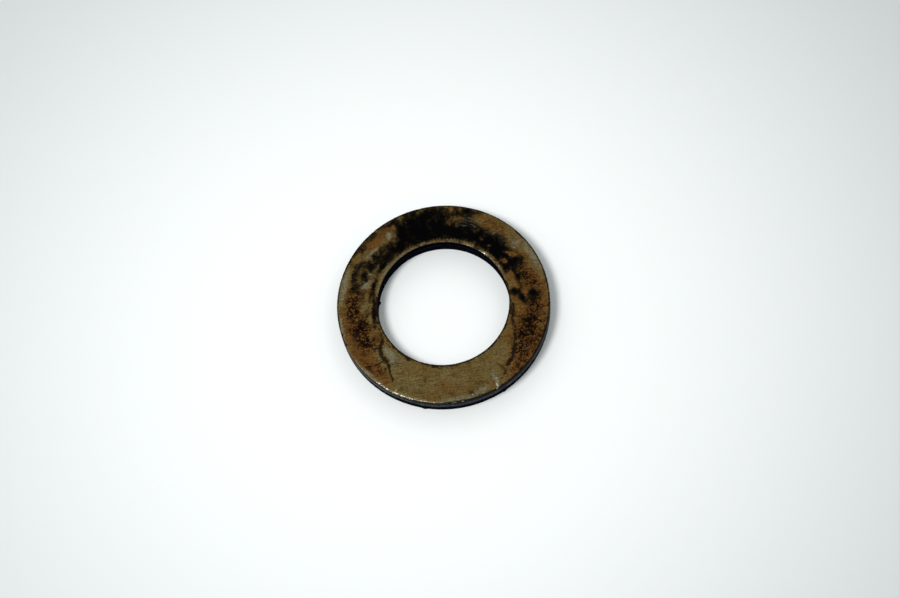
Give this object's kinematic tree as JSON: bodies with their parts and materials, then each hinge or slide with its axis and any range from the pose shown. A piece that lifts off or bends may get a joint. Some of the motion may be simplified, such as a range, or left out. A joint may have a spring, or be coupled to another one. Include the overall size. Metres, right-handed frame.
{
  "type": "flat washer",
  "caption": "Flat round steel washer with a plain central bore, rolled top edges and slightly drafted punched walls.",
  "frame": {"origin": "on the bore's axis, in the plane of the bottom face", "axes": "+Z along the bore's axis, out of the top face, whose two edges are rolled; X and Y are free, because the ring is round"},
  "size_m": [0.034, 0.034, 0.003],
  "materials": {
    "steel": "bare strip steel, worn, with brown oil film, black stain and light surface rust"
  },
  "bodies": {
    "root": {"washer": "steel"}
  },
  "joints": []
}
